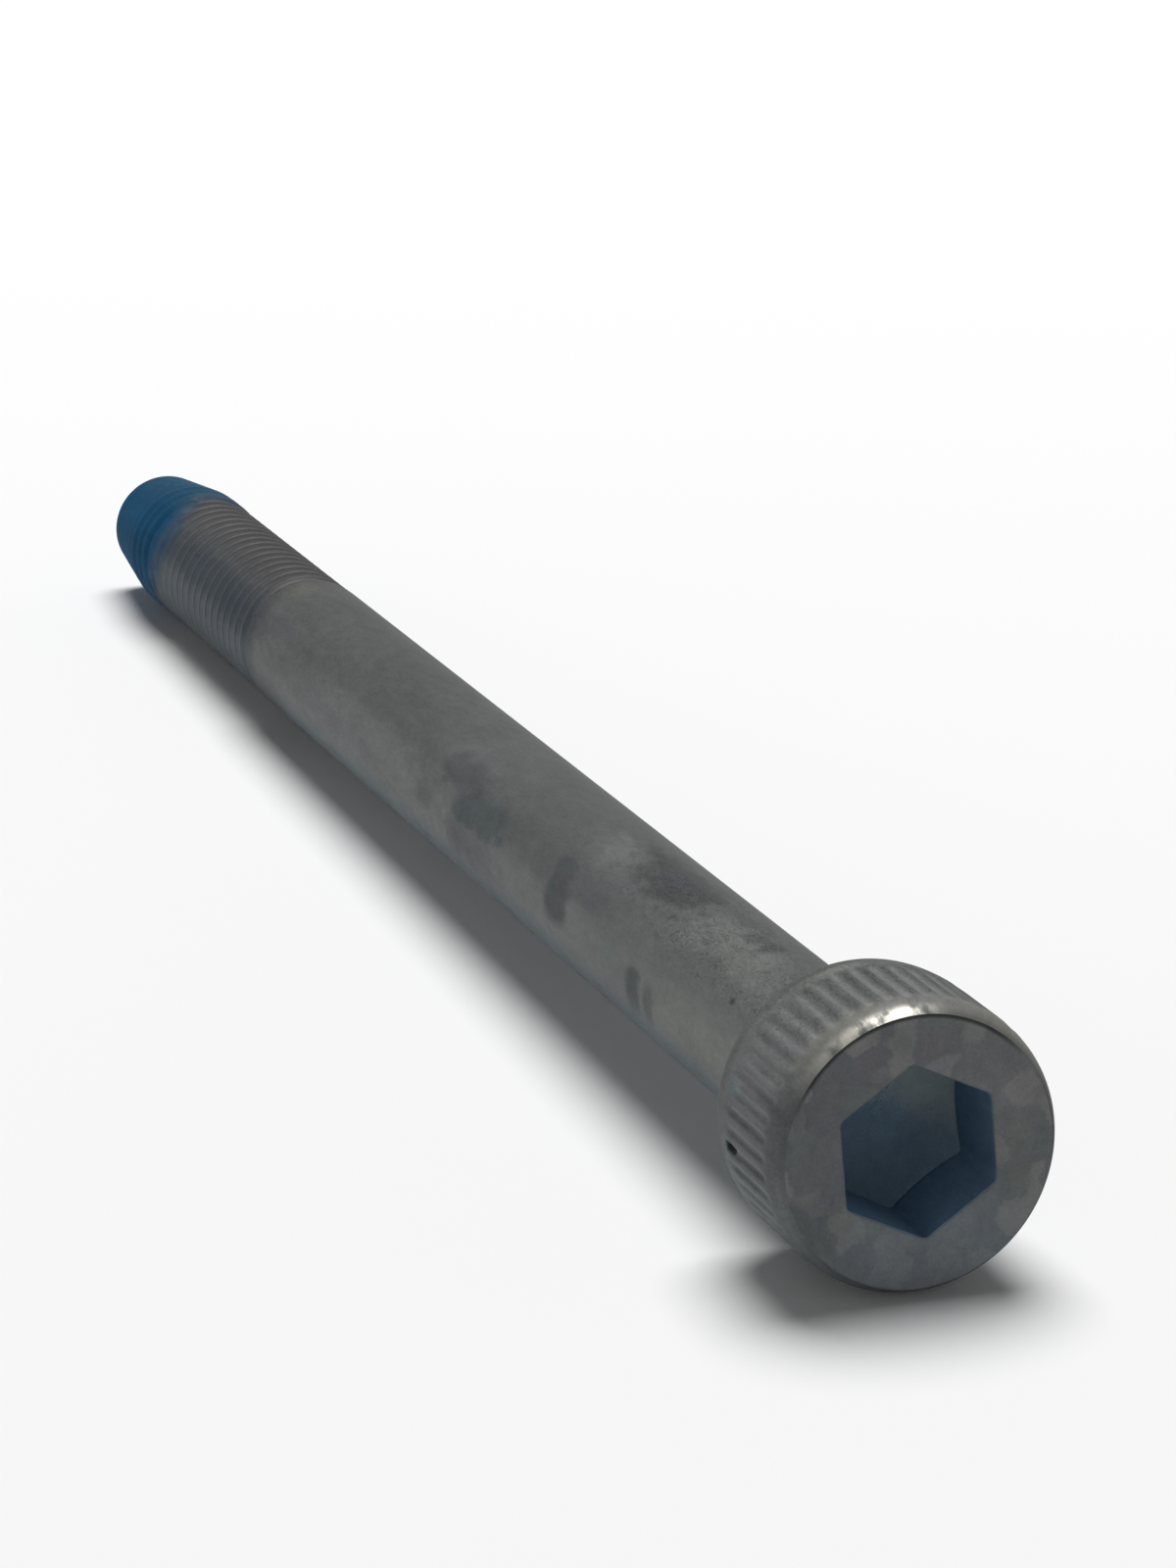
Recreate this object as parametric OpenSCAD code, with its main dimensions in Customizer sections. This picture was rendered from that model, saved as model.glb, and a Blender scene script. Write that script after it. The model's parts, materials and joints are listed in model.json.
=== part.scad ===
// Socket head cap screw, lying as it comes to rest: on the knurl of its head and on its point.
// The screw is drawn upright, with its bearing face at z = 0, its shank towards +z and its head
// towards -z, and lie_down() then tips it over. The origin stays at the middle of the bearing face.

/* [Head] */
// Diameter of the head, over the crests of its knurl
head_d = 9.88; // [9.4:0.02:10.2]
// Height of the head, from the bearing face to its flat top
head_h = 6; // [5.4:0.1:6.6]
// How far the rim of the flat top is rounded in towards the axis
rim_drop = 0.35; // [0.15:0.05:0.6]
// Length of the side that this rounding takes
rim_run = 1.4; // [0.6:0.1:1.8]
// How far the side is rounded in where it meets the bearing face
back_drop = 0.4; // [0.15:0.05:0.7]
// Length of the side that this rounding takes
back_run = 2; // [0.6:0.1:2.4]

/* [Knurl] */
// Number of flutes round the head
flutes = 48; // [36:2:60]
// Width of a flute at the surface, which leaves a narrow crest beside it
flute_w = 0.43; // [0.36:0.01:0.48]
// Depth of a flute below the crests
flute_depth = 0.14; // [0.06:0.01:0.16]
// Length over which a flute runs out at each end
flute_end = 0.3; // [0.1:0.05:0.6]
// Distance from the flat top to where the flutes reach their depth
knurl_top = 1; // [0.6:0.1:1.6]
// Distance from the bearing face to where the flutes reach their depth
knurl_back = 1.7; // [0.8:0.1:2.4]

/* [Socket] */
// Width across the flats of the hexagonal socket
socket_af = 5.12; // [5.02:0.02:5.3]
// Diameter across its corners, which are blunt
socket_corners = 5.84; // [5.7:0.02:5.9]
// Depth from the flat top to the floor
socket_depth = 3.4; // [3:0.1:3.8]
// Diameter of the floor, inside the slopes that rise into the corners
socket_floor_d = 4.8; // [4.2:0.1:5]
// Height of those slopes
socket_slope_h = 0.35; // [0.1:0.05:0.6]
// How far the socket is turned about the axis, from a corner straight up
socket_turn = 4.6; // [0:0.2:30]

/* [Shank] */
// Length under the head, from the bearing face to the end of the point
length = 90; // [60:5:110]
// Diameter of the plain shank
shank_d = 5.85; // [5.7:0.05:6]
// Radius of the fillet between the shank and the bearing face
neck_r = 0.3; // [0.1:0.05:0.5]

/* [Thread] */
// Length of the full thread, measured from the end of the point
thread_len = 24.2; // [18:0.1:28]
// Outside diameter of the thread, over its crests
thread_d = 5.8; // [5.7:0.05:6]
// Diameter of the thread's core, which the end narrows to
core_d = 4.77; // [4.6:0.01:5]
// Distance from one crest to the next
pitch = 1; // [0.8:0.05:1.25]
// Width of the flat on a crest
crest_w = 0.24; // [0.12:0.02:0.3]
// Width of the flat at the bottom of a groove
root_w = 0.17; // [0.1:0.01:0.3]
// Length over which the grooves run out into the shank
thread_runout = 1.5; // [0.5:0.1:3]

/* [Point] */
// Length over which the end narrows
point_len = 5.4; // [1:0.1:7]
// Radius of the rounding round the end
point_round = 0.35; // [0.1:0.05:0.6]

/* [Locking coat] */
// Length of the end that the blue locking coat covers
coat_len = 8; // [7.5:0.1:16]
// Thickness of the coat
coat_t = 0.05; // [0.02:0.01:0.12]
// Length over which the coat thins out to nothing
coat_edge = 0.4; // [0.1:0.1:1]

/* [Hidden] */
$fn = 96;
arc_steps = 8;
turn_steps = 24;
overcut = 1;
runout_sink = 0.1;
zinc_grey = [0.37, 0.37, 0.36];
coat_blue = [0.12, 0.29, 0.46];

head_r = head_d / 2;
shank_r = shank_d / 2;
thread_r = thread_d / 2;
core_r = core_d / 2;
top_z = -head_h;
runout_z = length - thread_len - thread_runout;
coat_z = length - coat_len;

// The flute's cutter is a rod whose side cuts a channel of the stated width and depth.
cutter_r = (pow(flute_w / 2, 2) + pow(flute_depth, 2)) / (2 * flute_depth);
cutter_place = head_r - flute_depth + cutter_r;
cutter_end_share = 1.5;

// The screw rests on the two crests beside the lowest flute, and on the coat where the point begins.
crest_angle = asin(flute_w / head_d);
crest_rest_r = head_r * cos(crest_angle);
point_rest_r = thread_r + coat_t;
rest_tilt = atan((crest_rest_r - point_rest_r) / (length - point_len + back_run));

// A quarter of an ellipse from (r, z) inwards: it leaves the side along the axis and ends square to it.
function rounded(r, z, drop, run) =
    [for (i = [0 : arc_steps]) let (a = 90 * i / arc_steps)
        [r - drop * (1 - cos(a)), z + run * sin(a)]];

function reversed(points) = [for (i = [len(points) - 1 : -1 : 0]) points[i]];

// The outline of the end under its coat, from where the narrowing starts to the axis.
point_outline =
    concat(
        [[thread_r + coat_t, length - point_len]],
        rounded(core_r + coat_t, length + coat_t - point_round, point_round, point_round),
        [[0, length + coat_t]]
    );

// The fillet under the head, from the bearing face to the shank.
neck_outline =
    [for (i = [0 : arc_steps]) let (a = 90 * i / arc_steps)
        [shank_r + neck_r * (1 - sin(a)), neck_r * (1 - cos(a))]];

head_outline =
    concat(
        [[0, top_z]],
        reversed(rounded(head_r, top_z + rim_run, rim_drop, -rim_run)),
        rounded(head_r, -back_run, back_drop, back_run)
    );

// The shank ends in a cone, which the grooves run out into. Its tip lies inside the thread's core.
shank_outline =
    concat(
        neck_outline,
        [
            [shank_r, runout_z],
            [core_r - runout_sink, runout_z + thread_runout],
            [0, runout_z + thread_runout]
        ]
    );

// The turned head and shank, with neither knurl nor socket.
module blank() {
    rotate_extrude()
        polygon(concat(head_outline, shank_outline));
}

// The rod that cuts one flute, tapered at both ends so that the flute runs out.
module flute_cutter() {
    taper_r = cutter_r - cutter_end_share * flute_depth;
    taper_h = cutter_end_share * flute_end;
    straight_h = head_h - knurl_top - knurl_back;
    translate([cutter_place, 0, top_z + knurl_top]) {
        cylinder(r = cutter_r, h = straight_h);
        translate([0, 0, straight_h])
            cylinder(r1 = cutter_r, r2 = taper_r, h = taper_h);
        translate([0, 0, -taper_h])
            cylinder(r1 = taper_r, r2 = cutter_r, h = taper_h);
    }
}

// The straight knurl. Its first flute is the lowest one when the screw lies down.
module knurl() {
    for (i = [0 : flutes - 1])
        rotate([0, 0, 360 * i / flutes])
            flute_cutter();
}

// The hexagonal socket, as its punch leaves it: blunt corners, and slopes round a flat floor.
module socket() {
    translate([0, 0, top_z])
        intersection() {
            rotate([0, 0, -socket_turn])
                translate([0, 0, -overcut])
                    cylinder(d = socket_af / cos(30), h = overcut + socket_depth, $fn = 6);
            rotate_extrude()
                polygon([
                    [0, -2 * overcut],
                    [socket_corners / 2, -2 * overcut],
                    [socket_corners / 2, socket_depth - socket_slope_h],
                    [socket_floor_d / 2, socket_depth],
                    [0, socket_depth]
                ]);
        }
}

// One pitch of the thread, as distances from the axis and heights: crest, groove and rising flank.
flank_w = (pitch - crest_w - root_w) / 2;
thread_section = [
    [thread_r, -crest_w / 2],
    [thread_r, crest_w / 2],
    [core_r, crest_w / 2 + flank_w],
    [core_r, crest_w / 2 + flank_w + root_w]
];

// The thread and its core, as one right-hand helix. It starts inside the shank and ends inside the
// coat, and at each end a fan of triangles from the axis closes it.
module thread() {
    start_z = runout_z - pitch;
    turns = ceil((coat_z - start_z) / pitch);
    steps = turns * turn_steps;
    corners = len(thread_section);
    helix = [
        for (step = [0 : steps]) let (a = 360 * step / turn_steps)
            for (corner = thread_section)
                [corner.x * cos(a), corner.x * sin(a), start_z + corner.y + pitch * a / 360]
    ];
    last_edge = [
        for (step = [steps + 1 : steps + turn_steps]) let (a = 360 * step / turn_steps)
            [thread_r * cos(a), thread_r * sin(a), start_z - crest_w / 2 + pitch * a / 360]
    ];
    tips = [[0, 0, start_z], [0, 0, start_z + pitch * (turns + 1)]];
    first_tip = len(helix) + len(last_edge);
    last_tip = first_tip + 1;

    // A corner's number among the points. The one past the last corner opens the next turn.
    function at(step, corner) =
        corner == corners ? at(step + turn_steps, 0) :
        step <= steps ? step * corners + corner :
        (steps + 1) * corners + step - steps - 1;

    skin = [
        for (step = [0 : steps - 1])
            for (corner = [0 : corners - 1])
                for (triangle = [
                    [at(step, corner), at(step, corner + 1), at(step + 1, corner + 1)],
                    [at(step, corner), at(step + 1, corner + 1), at(step + 1, corner)]
                ])
                    triangle
    ];
    ends = concat(
        [for (step = [0 : turn_steps - 1]) [first_tip, at(step, 0), at(step + 1, 0)]],
        [for (corner = [0 : corners - 1]) [first_tip, at(0, corner + 1), at(0, corner)]],
        [for (step = [steps : steps + turn_steps - 1]) [last_tip, at(step + 1, 0), at(step, 0)]],
        [for (corner = [0 : corners - 1]) [last_tip, at(steps, corner), at(steps, corner + 1)]]
    );
    polyhedron(points = concat(helix, last_edge, tips), faces = concat(skin, ends));
}

// The blue coat, which fills the last turns of the thread and covers the point.
module locking_coat() {
    rotate_extrude()
        polygon(concat(
            [
                [0, coat_z],
                [thread_r - coat_t, coat_z],
                [thread_r + coat_t, coat_z + coat_edge]
            ],
            point_outline
        ));
}

// Tips the upright screw over until its lowest flute faces the floor and its point touches it.
module lie_down() {
    rotate([0, 90 + rest_tilt, 0])
        children();
}

module cap_screw() {
    lie_down() {
        color(zinc_grey)
            difference() {
                blank();
                knurl();
                socket();
            }
        color(zinc_grey)
            thread();
        color(coat_blue)
            locking_coat();
    }
}

cap_screw();
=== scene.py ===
import json
import math
from collections import namedtuple

import bmesh
import bpy
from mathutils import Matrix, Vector


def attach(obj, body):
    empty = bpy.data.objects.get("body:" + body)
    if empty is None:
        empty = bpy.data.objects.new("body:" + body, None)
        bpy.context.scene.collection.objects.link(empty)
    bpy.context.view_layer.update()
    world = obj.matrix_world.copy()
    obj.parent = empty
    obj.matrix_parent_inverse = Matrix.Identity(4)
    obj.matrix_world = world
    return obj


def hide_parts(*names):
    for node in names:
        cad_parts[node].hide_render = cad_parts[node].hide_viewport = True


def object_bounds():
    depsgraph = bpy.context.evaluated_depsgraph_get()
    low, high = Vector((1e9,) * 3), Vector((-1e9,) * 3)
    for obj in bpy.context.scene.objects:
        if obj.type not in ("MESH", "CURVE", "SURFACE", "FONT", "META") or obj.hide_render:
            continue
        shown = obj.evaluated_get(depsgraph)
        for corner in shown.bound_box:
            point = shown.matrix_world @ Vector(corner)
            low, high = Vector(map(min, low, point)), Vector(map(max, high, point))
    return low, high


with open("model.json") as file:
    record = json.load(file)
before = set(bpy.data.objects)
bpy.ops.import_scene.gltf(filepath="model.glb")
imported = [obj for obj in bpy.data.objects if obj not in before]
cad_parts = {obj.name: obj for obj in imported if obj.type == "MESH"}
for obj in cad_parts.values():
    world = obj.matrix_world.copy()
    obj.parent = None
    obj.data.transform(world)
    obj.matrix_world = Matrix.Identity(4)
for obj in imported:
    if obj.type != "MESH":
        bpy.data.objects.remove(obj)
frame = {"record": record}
CAD_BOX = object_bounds()

# The screw is modelled upright and in millimetres: its bearing face at height 0, its head below it
# and its point at the top. lay_down() then tips it over and brings it to metres.
MM = 0.001
MOUNTS = {mount["name"]: mount for mount in frame["record"]["mounts"]}
AXIS = Vector(MOUNTS["bearing_face"]["axis"])
REST_TILT = math.asin(-AXIS.z)
LENGTH = Vector(MOUNTS["thread"]["pos_m"]).length / MM
HEAD_H = Vector(MOUNTS["hex_socket"]["pos_m"]).length / MM
SHANK_R = MOUNTS["shank"]["dims"]["r_mm"]

# Head
HEAD_R = 4.94
RIM_DROP, RIM_RUN, RIM_POWER = 0.35, 1.4, 3
# The rim's rings crowd towards the face, and the first lies RIM_START out and down from its edge
RIM_RINGS, RIM_CROWDING, RIM_START = 16, 1.4, (0.004, 0.001)
FACE_GROOVE_R, FACE_GROOVE_DEPTH, FACE_GROOVE_LINES = 4.55, 0.002, (-0.06, -0.02, 0.015)
BACK_DROP, BACK_RUN = 0.4, 2.0
FLUTES = 48
FLUTE_W, FLUTE_DEPTH = 0.43, 0.1
KNURL_TOP, KNURL_BACK, FLUTE_END = 1.0, 1.7, 0.3
EDGE_SOFTENING, SOFTENING_SAMPLES = 0.9, 9
COLUMNS_PER_FLUTE, BAND_RINGS, BACK_RINGS = 16, 14, 14
PIT_HEIGHT, PIT_TURN, PIT_LENGTH, PIT_WIDTH, PIT_DEPTH = 4.13, -92.5, 0.8, 0.42, 0.16
PIT_RINGS = 5

# Socket
SOCKET_AF, SOCKET_CORNERS = 5.12, 5.84
SOCKET_DEPTH, SOCKET_FLOOR_D, SOCKET_SLOPE_H = 3.4, 4.8, 0.35
SOCKET_TURN = 4.6
SOCKET_COLUMNS = 192
MOUTH_BEVEL = 0.05

# Shank, thread and point
NECK_R = 0.3
TURNED_COLUMNS, FILLET_RINGS, SHANK_RINGS = 192, 6, 64
THREAD_LEN, THREAD_RUNOUT = 24.2, 1.5
THREAD_START = LENGTH - THREAD_LEN - THREAD_RUNOUT
THREAD_R, CORE_R, PITCH = 2.9, 2.387, 1.0
THREAD_STEPS = 96
# Half of one pitch of the thread, from the middle of a root to the edge of the crest: distance from
# the crest's middle in pitches, and radius
THREAD_SECTION = [
    (0.5, CORE_R), (0.44, CORE_R + 0.012), (0.375, CORE_R + 0.071),
    (0.165, THREAD_R - 0.078), (0.135, THREAD_R - 0.03), (0.085, THREAD_R)]
RUNOUT_EARLY, RUNOUT_LATE = 0.1, 0.5
POINT_LEN, POINT_R, POINT_ROUND, POINT_RINGS = 5.4, 2.385, 0.35, 8
BLANK_LEAD = 2

# Locking coat. Its edge lies COAT_START from the top of the head, and sags by COAT_DROOP times the
# square of the degrees from its middle.
COAT_LEN, COAT_T, COAT_EDGE = 8.0, 0.05, 0.4
COAT_START, COAT_MIDDLE_TURN, COAT_DROOP, MOST_DROOP = 86.3, -55, 0.0007, 2.4
COAT_FILL, COAT_THINNING, COAT_THICKENING = 0.94, 0.9, 0.5
FULL_COAT_START, FULL_COAT_END = 1, 0.2
FADE_END = 3.2

# Height of the bands of faces that join the shank to the thread, and the thread to the point
SHANK_JOINT, POINT_JOINT = 0.3, 0.15
# Ranges of radius that tell two open rims at one height apart
SOCKET_RIM, HEAD_RIM, NECK_RIM = (2, 3.5), (4, 5), (3, 3.5)

# How near two points are taken as one: NEAR in millimetres, or in radians round the axis, TOUCHING
# in millimetres and SAME_TURN in degrees
NEAR, TOUCHING, SAME_TURN = 1e-3, 1e-4, 0.01
# Edges that bend by fewer degrees than this are shaded smooth
SMOOTH_BELOW = 40

# How much longer the clouds of the mottled coat are along the screw than round it
DRAWN_OUT = 2.4

# Camera, where the photo was taken from
CAMERA_PLACE = Vector((-158.93, 62.51, 61.65)) * MM
CAMERA_AIM = Vector((51.89, -8.39, -4.89)) * MM
LENS = 127.32
CLIP_START, CLIP_END = 0.005, 20

# Light
FLOOR_SIZE = 6.0
SOFTBOX_DIRECTION, SOFTBOX_DISTANCE = (0.34, -0.15, 1.0), 1.8
SOFTBOX_WIDTH, SOFTBOX_POWER = 1.25, 32
ZENITH_LEVEL, HORIZON_LEVEL, HORIZON_SPREAD = 0.04, 0.9, 3
BACKGROUND_LEVEL = 0.96
FLOOR_COLOUR = (0.98, 0.98, 0.98, 1)


def start_new():
    """Leaves edit mode and deselects everything, so that the next operator acts on its own piece."""
    if bpy.context.object and bpy.context.object.mode != "OBJECT":
        bpy.ops.object.mode_set(mode="OBJECT")
    bpy.ops.object.select_all(action="DESELECT")


def pick(kind, test):
    """In edit mode, selects the vertices or edges that pass the test."""
    bpy.ops.mesh.select_mode(type=kind)
    bpy.ops.mesh.select_all(action="DESELECT")
    data = bpy.context.object.data
    mesh = bmesh.from_edit_mesh(data)
    elements = {"VERT": mesh.verts, "EDGE": mesh.edges}[kind]
    for element in elements:
        if test(element):
            element.select_set(True)
    mesh.select_flush_mode()
    bmesh.update_edit_mesh(data)


def rounded(radius, height, drop, run, steps):
    """A quarter of an ellipse: it leaves the side along the axis and ends square to it."""
    turns = [math.pi / 2 * i / steps for i in range(steps + 1)]
    return [(radius - drop * (1 - math.cos(a)), height + run * math.sin(a)) for a in turns]


def profile(name, points):
    """Draws a chain of edges through points of (radius, height), and leaves it in edit mode."""
    start_new()
    bpy.ops.mesh.primitive_plane_add(size=1)
    bpy.context.object.name = name
    bpy.ops.object.mode_set(mode="EDIT")
    bpy.ops.mesh.merge(type="CENTER")
    bpy.ops.transform.translate(value=(points[0][0], 0, points[0][1]))
    for (r0, z0), (r1, z1) in zip(points, points[1:]):
        step = {"value": (r1 - r0, 0, z1 - z0)}
        bpy.ops.mesh.extrude_vertices_move(TRANSFORM_OT_translate=step)
    bpy.ops.mesh.select_all(action="SELECT")
    return bpy.context.object


def turned(name, points, columns):
    """Turns a profile all the way round."""
    piece = profile(name, points)
    bpy.ops.mesh.spin(steps=columns, angle=2 * math.pi, center=(0, 0, 0), axis=(0, 0, 1))
    bpy.ops.mesh.select_all(action="SELECT")
    bpy.ops.mesh.remove_doubles(threshold=TOUCHING)
    bpy.ops.object.mode_set(mode="OBJECT")
    return piece


def channel_depth(degrees):
    """How deep a flute's round channel is at an angle from its middle."""
    cutter_r = ((FLUTE_W / 2) ** 2 + FLUTE_DEPTH ** 2) / (2 * FLUTE_DEPTH)
    place = HEAD_R - FLUTE_DEPTH + cutter_r
    side = place * math.sin(math.radians(degrees))
    if abs(side) >= cutter_r:
        return 0
    reach = place * math.cos(math.radians(degrees)) - math.sqrt(cutter_r ** 2 - side ** 2)
    return max(HEAD_R - reach, 0)


def flute_depth(degrees):
    """The channel with its edges rounded over, as rolling and the zinc coat leave them."""
    last = SOFTENING_SAMPLES - 1
    spread = [EDGE_SOFTENING * (2 * i / last - 1) for i in range(SOFTENING_SAMPLES)]
    return sum(channel_depth(degrees + offset) for offset in spread) / len(spread)


def rim_outline():
    """The edge of the flat top, as (radius, height): a shallow groove, then the worn rim."""
    top = -HEAD_H
    depths = (0, FACE_GROOVE_DEPTH, FACE_GROOVE_DEPTH)
    outline = [(FACE_GROOVE_R + line, top + depth) for line, depth in zip(FACE_GROOVE_LINES, depths)]
    outline.append((HEAD_R - RIM_DROP + RIM_START[0], top + RIM_START[1]))
    for i in range(1, RIM_RINGS + 1):
        along = RIM_RUN * (i / RIM_RINGS) ** RIM_CROWDING
        outline.append((HEAD_R - RIM_DROP * (1 - along / RIM_RUN) ** RIM_POWER, top + along))
    return outline


def on_columns(height, angles):
    """A test for vertices at a height, and at one of the angles to either side of +X."""
    def test(v):
        turn = abs(math.atan2(v.co.y, v.co.x))
        return abs(v.co.z - height) < NEAR and min(abs(turn - a) for a in angles) < NEAR
    return test


def knurled_side():
    """One pitch of the knurl is turned and fluted, and then copied round the head."""
    fade = 2 * FLUTE_END
    fade_low, fade_high = -HEAD_H + KNURL_TOP - FLUTE_END, -KNURL_BACK + FLUTE_END
    rim = rim_outline()
    band = [(HEAD_R, -HEAD_H + RIM_RUN + (HEAD_H - RIM_RUN - BACK_RUN) * i / BAND_RINGS)
            for i in range(1, BAND_RINGS)]
    back = rounded(HEAD_R, -BACK_RUN, BACK_DROP, BACK_RUN, steps=BACK_RINGS)
    pitch = 360 / FLUTES
    piece = profile("coated_screw", rim + band + back)
    bpy.ops.mesh.spin(
        steps=COLUMNS_PER_FLUTE, angle=math.radians(pitch), center=(0, 0, 0), axis=(0, 0, 1))
    heights = sorted({round(z, 5) for _, z in rim + band + back})
    for z in heights:
        share = min(ramp(z, fade_low, fade_low + fade), ramp(z, fade_high, fade_high - fade))
        if share == 0:
            continue
        for offset in range(COLUMNS_PER_FLUTE // 2):
            degrees = offset * pitch / COLUMNS_PER_FLUTE
            depth = flute_depth(degrees)
            if depth == 0:
                continue
            angles = [math.radians(degrees), math.radians(pitch - degrees)]
            shrink = 1 - share * depth / HEAD_R
            pick("VERT", on_columns(z, angles))
            bpy.ops.transform.resize(value=(shrink, shrink, 1), center_override=(0, 0, 0))
    bpy.ops.mesh.select_all(action="SELECT")
    bpy.ops.mesh.spin(
        steps=FLUTES - 1, angle=math.radians(360 - pitch), center=(0, 0, 0), axis=(0, 0, 1),
        dupli=True)
    bpy.ops.mesh.select_all(action="SELECT")
    bpy.ops.mesh.remove_doubles(threshold=NEAR)
    press_pit()
    bpy.ops.object.mode_set(mode="OBJECT")
    return piece


def off_pit(v):
    """How far a vertex is from the middle of the pit, where 1 is its edge."""
    middle = math.radians(PIT_TURN + 180 - SOCKET_TURN)
    side = (math.atan2(v.co.y, v.co.x) - middle + math.pi) % (2 * math.pi) - math.pi
    along = (v.co.z + HEAD_H - PIT_HEIGHT) / (PIT_LENGTH / 2)
    return math.hypot(along, side * HEAD_R / (PIT_WIDTH / 2))


def press_pit():
    """In edit mode, presses a round-bottomed pit into the head's side, ring inside ring."""
    shrink = 1 - PIT_DEPTH / PIT_RINGS / HEAD_R
    for ring in range(PIT_RINGS):
        pick("VERT", lambda v: off_pit(v) < 1 - ring / PIT_RINGS)
        bpy.ops.transform.resize(value=(shrink, shrink, 1), center_override=(0, 0, 0))


def ramp(value, start, end):
    """0 at start and 1 at end, smoothly, whichever of them is higher."""
    share = min(max((value - start) / (end - start), 0), 1)
    return share * share * (3 - 2 * share)


def hexagon_reach(degrees):
    """The socket wall's distance from the axis, at an angle from the middle of a flat."""
    return min(SOCKET_AF / 2 / math.cos(math.radians(degrees)), SOCKET_CORNERS / 2)


def off_flat(v, degrees):
    """How many degrees a vertex is from the columns at an angle to either side of a flat's middle."""
    turn = math.degrees(math.atan2(v.co.y, v.co.x)) % 60
    return abs(min(turn, 60 - turn) - degrees)


def socket():
    """The hexagonal recess: a round pocket whose columns are drawn out to the hexagon."""
    top = -HEAD_H
    floor = top + SOCKET_DEPTH
    foot = floor - SOCKET_SLOPE_H
    levels = [top, top + MOUTH_BEVEL, top + SOCKET_DEPTH / 2, foot]
    floor_r = SOCKET_FLOOR_D / 2
    points = [(1, z) for z in levels] + [(floor_r, floor), (floor_r / 2, floor), (0, floor)]
    piece = turned("socket", points, SOCKET_COLUMNS)
    bpy.ops.object.mode_set(mode="EDIT")
    # From the middle of a flat to a corner is a twelfth of the way round
    to_corner = SOCKET_COLUMNS // 12
    for column in range(to_corner + 1):
        degrees = column * 360 / SOCKET_COLUMNS
        reach = hexagon_reach(degrees)
        pick("VERT", lambda v: off_flat(v, degrees) < SAME_TURN and v.co.z < foot + TOUCHING)
        bpy.ops.transform.resize(value=(reach, reach, 1), center_override=(0, 0, 0))
        rise = SOCKET_SLOPE_H * (SOCKET_CORNERS / 2 - reach) / (SOCKET_CORNERS / 2 - floor_r)
        pick("VERT", lambda v: off_flat(v, degrees) < SAME_TURN and abs(v.co.z - foot) < TOUCHING)
        bpy.ops.transform.translate(value=(0, 0, rise))
    widen = 1 + MOUTH_BEVEL / (SOCKET_AF / 2)
    pick("VERT", lambda v: abs(v.co.z - top) < TOUCHING)
    bpy.ops.transform.resize(value=(widen, widen, 1), center_override=(0, 0, 0))
    bpy.ops.object.mode_set(mode="OBJECT")
    piece.rotation_euler.z = math.radians(30 - SOCKET_TURN)
    bpy.ops.object.transform_apply(location=False, rotation=True, scale=False)
    return piece


def thread_profile():
    """One pitch of the thread, from root to root: crest flat, flanks at 30 degrees, round roots."""
    side = [(r, -x * PITCH) for x, r in THREAD_SECTION]
    return side + [(r, -z) for r, z in side[::-1]]


def blank_outline():
    """The turned blank of the thread and the point, with the locking coat on it, as points of
    (radius, height)."""
    coat_start = LENGTH - COAT_LEN
    ends = rounded(
        POINT_R + COAT_T, LENGTH + COAT_T - POINT_ROUND, POINT_ROUND, POINT_ROUND, POINT_RINGS)
    return [
        (SHANK_R, THREAD_START - BLANK_LEAD),
        (SHANK_R, THREAD_START),
        (THREAD_R, LENGTH - THREAD_LEN),
        (THREAD_R, coat_start),
        (THREAD_R + COAT_T, coat_start + COAT_EDGE),
        (THREAD_R + COAT_T, LENGTH - POINT_LEN),
    ] + ends


def helix(end_z):
    """The thread with no run-out, from a pitch before its start to past end_z."""
    turns = math.ceil((end_z - THREAD_START) / PITCH) + 2
    piece = profile("thread", [(r, z + THREAD_START - PITCH) for r, z in thread_profile()])
    bpy.ops.object.mode_set(mode="OBJECT")
    bpy.ops.object.modifier_add(type="SCREW")
    winding = piece.modifiers[-1]
    winding.angle = 2 * math.pi
    winding.screw_offset = PITCH
    winding.iterations = turns
    winding.steps = winding.render_steps = THREAD_STEPS
    winding.use_merge_vertices = True
    winding.merge_threshold = TOUCHING
    bpy.ops.object.modifier_apply(modifier=winding.name)
    bpy.ops.object.mode_set(mode="EDIT")
    bpy.ops.mesh.select_all(action="SELECT")
    bpy.ops.mesh.remove_doubles(threshold=NEAR)
    bpy.ops.object.mode_set(mode="OBJECT")
    return piece


def filling(place, end_z):
    """How much of the groove is filled at a place on the helix, from 0 to 1: all of it where the
    thread runs out, most of it past the sagging edge of the coat, and all of it at end_z."""
    run_out = 1 - ramp(
        place.z, THREAD_START + RUNOUT_EARLY, THREAD_START + THREAD_RUNOUT + RUNOUT_LATE)
    turn = math.degrees(math.atan2(place.y, place.x)) - 180 + SOCKET_TURN - COAT_MIDDLE_TURN
    turn = (turn + 180) % 360 - 180
    coat_edge = COAT_START - HEAD_H + min(COAT_DROOP * turn ** 2, MOST_DROOP)
    coat = COAT_FILL * ramp(place.z, coat_edge - COAT_THINNING, coat_edge + COAT_THICKENING)
    full_start, full_end = LENGTH - COAT_LEN + FULL_COAT_START, end_z - FULL_COAT_END
    coat += (1 - COAT_FILL) * ramp(place.z, full_start, full_end)
    return max(run_out, coat)


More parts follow.
